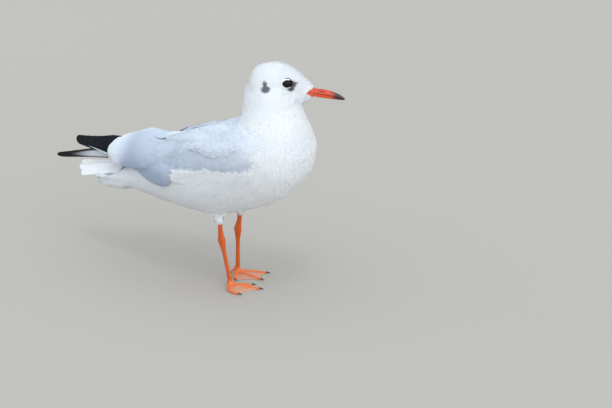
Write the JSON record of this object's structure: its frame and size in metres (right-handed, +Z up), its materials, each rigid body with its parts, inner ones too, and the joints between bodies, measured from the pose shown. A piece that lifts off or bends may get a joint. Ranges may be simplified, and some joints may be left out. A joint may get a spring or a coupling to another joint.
{
  "type": "black-headed gull in winter plumage, standing, life-size still model",
  "caption": "Life-size still model of a standing black-headed gull in winter plumage, with its head turned to one side and its wings folded, on two webbed feet.",
  "frame": {"origin": "on the floor, under the middle of the bird's outline seen from above", "axes": "+X towards the breast, +Y towards the bird's left, +Z up; the soles of both feet lie at z = 0"},
  "size_m": [0.3252, 0.109, 0.2458],
  "materials": {
    "plumage_white": "soft matt feather vanes",
    "plumage_grey": "smooth matt feather vanes",
    "plumage_black": "slightly glossy flight feathers",
    "leg_skin": "scaly skin with a dull gloss",
    "bill_horn": "smooth horn sheath",
    "claw": "smooth dark horn",
    "eye": "wet and clear, with a very dark iris"
  },
  "bodies": {
    "root": {"head": "plumage_white", "neck": "plumage_white", "trunk": "plumage_white", "tail": "plumage_white", "wing_right": "plumage_grey", "tertials_right": "plumage_grey", "primaries_right": "plumage_black", "thigh_right": "plumage_white", "tarsus_right": "leg_skin", "foot_right": "leg_skin", "eye_right": "eye", "claw_right_outer": "claw", "claw_right_middle": "claw", "claw_right_inner": "claw", "claw_right_hind": "claw", "wing_left": "plumage_grey", "tertials_left": "plumage_grey", "primaries_left": "plumage_black", "thigh_left": "plumage_white", "tarsus_left": "leg_skin", "foot_left": "leg_skin", "eye_left": "eye", "claw_left_outer": "claw", "claw_left_middle": "claw", "claw_left_inner": "claw", "claw_left_hind": "claw", "bill_upper": "bill_horn", "bill_lower": "bill_horn"}
  },
  "joints": []
}
